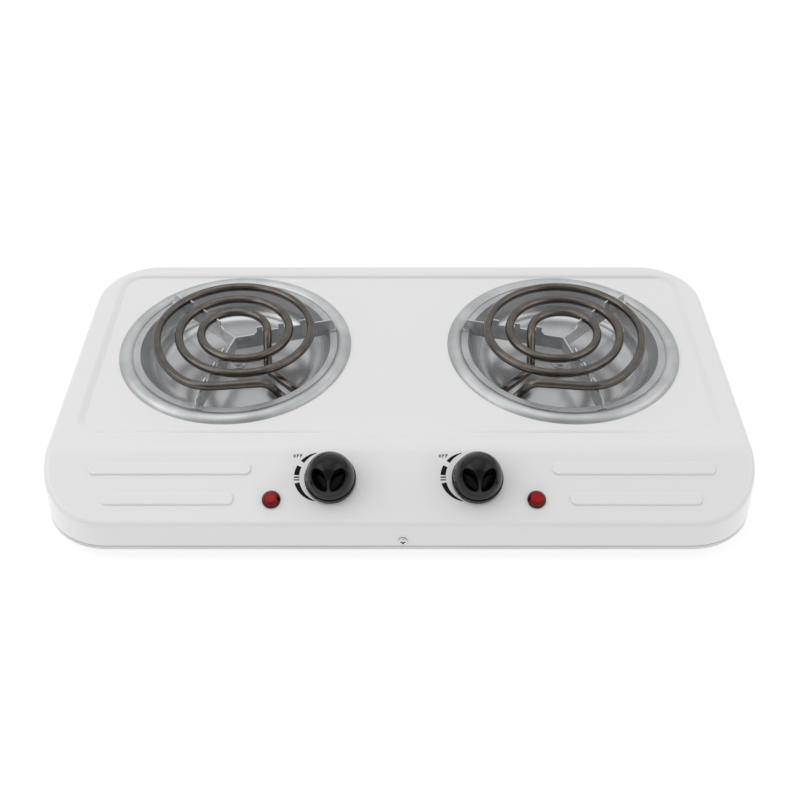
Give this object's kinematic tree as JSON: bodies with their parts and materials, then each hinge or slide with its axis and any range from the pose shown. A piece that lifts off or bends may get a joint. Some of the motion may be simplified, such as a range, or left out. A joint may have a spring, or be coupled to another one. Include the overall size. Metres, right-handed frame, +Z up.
{
  "type": "double hot plate",
  "caption": "Low enamelled double hot plate with spiral heating coils over drip bowls, sloping front panel with thermostat knobs and red lamps, on rubber feet.",
  "frame": {"origin": "on the table under the middle of the body", "axes": "+X to the right as seen by the user, +Y away from the user, +Z up"},
  "size_m": [0.4764, 0.268, 0.0687],
  "materials": {
    "enamel": "gloss white enamel",
    "base_paint": "pale grey paint",
    "rubber": "matt black",
    "zinc": "zinc plated",
    "ring_steel": "bright satin",
    "bowl_steel": "bright",
    "coil_sheath": "oxidised, satin",
    "support_steel": "galvanised",
    "pin_steel": "plain",
    "ceramic": "unglazed",
    "contact_brass": "plain",
    "shaft_brass": "turned",
    "knob_plastic": "black, semi-gloss",
    "lens_red": "translucent red",
    "bulb_glass": "clear",
    "wire_live": "glass-fibre sleeve",
    "wire_neutral": "glass-fibre sleeve, blue",
    "wire_earth": "glass-fibre sleeve, green"
  },
  "bodies": {
    "housing": {"top_shell": "enamel", "base_plate": "base_paint", "foot_front_left": "rubber", "foot_front_right": "rubber", "foot_rear_left": "rubber", "foot_rear_right": "rubber", "foot_screws": "zinc", "shell_screws": "zinc", "left_trim_ring": "ring_steel", "left_drip_bowl": "bowl_steel", "left_heating_coil": "coil_sheath", "left_coil_support": "support_steel", "left_terminal_pins": "pin_steel", "left_terminal_beads": "ceramic", "left_terminal_plate": "zinc", "left_bowl_bracket": "zinc", "left_bowl_screw": "zinc", "left_bowl_nut": "zinc", "right_trim_ring": "ring_steel", "right_drip_bowl": "bowl_steel", "right_heating_coil": "coil_sheath", "right_coil_support": "support_steel", "right_terminal_pins": "pin_steel", "right_terminal_beads": "ceramic", "right_terminal_plate": "zinc", "right_bowl_bracket": "zinc", "right_bowl_screw": "zinc", "right_bowl_nut": "zinc", "left_thermostat_frame": "zinc", "left_thermostat_stack": "ceramic", "left_thermostat_leaves": "contact_brass", "left_thermostat_rivet": "zinc", "right_thermostat_frame": "zinc", "right_thermostat_stack": "ceramic", "right_thermostat_leaves": "contact_brass", "right_thermostat_rivet": "zinc", "thermostat_screws": "zinc", "left_lamp_lens": "lens_red", "left_lamp_bulb": "bulb_glass", "right_lamp_lens": "lens_red", "right_lamp_bulb": "bulb_glass", "lamp_clips": "zinc", "cord_gland": "rubber", "terminal_block": "ceramic", "block_screw": "zinc", "earth_screw": "zinc", "supply_leads": "wire_live", "coil_leads": "wire_live", "return_leads": "wire_neutral", "lamp_leads": "wire_neutral", "earth_lead": "wire_earth"},
    "left_control": {"left_knob": "knob_plastic", "left_thermostat_shaft": "shaft_brass"},
    "right_control": {"right_knob": "knob_plastic", "right_thermostat_shaft": "shaft_brass"}
  },
  "joints": [
    {"name": "left_knob_turn", "type": "hinge", "parent": "housing", "child": "left_control", "pos_m": [-0.04495, -0.10264, 0.04382], "axis": [0, -0.402, 0.9157], "range_deg": [0, 120]},
    {"name": "right_knob_turn", "type": "hinge", "parent": "housing", "child": "right_control", "pos_m": [0.05095, -0.10264, 0.04382], "axis": [0, -0.402, 0.9157], "range_deg": [0, 120]}
  ]
}
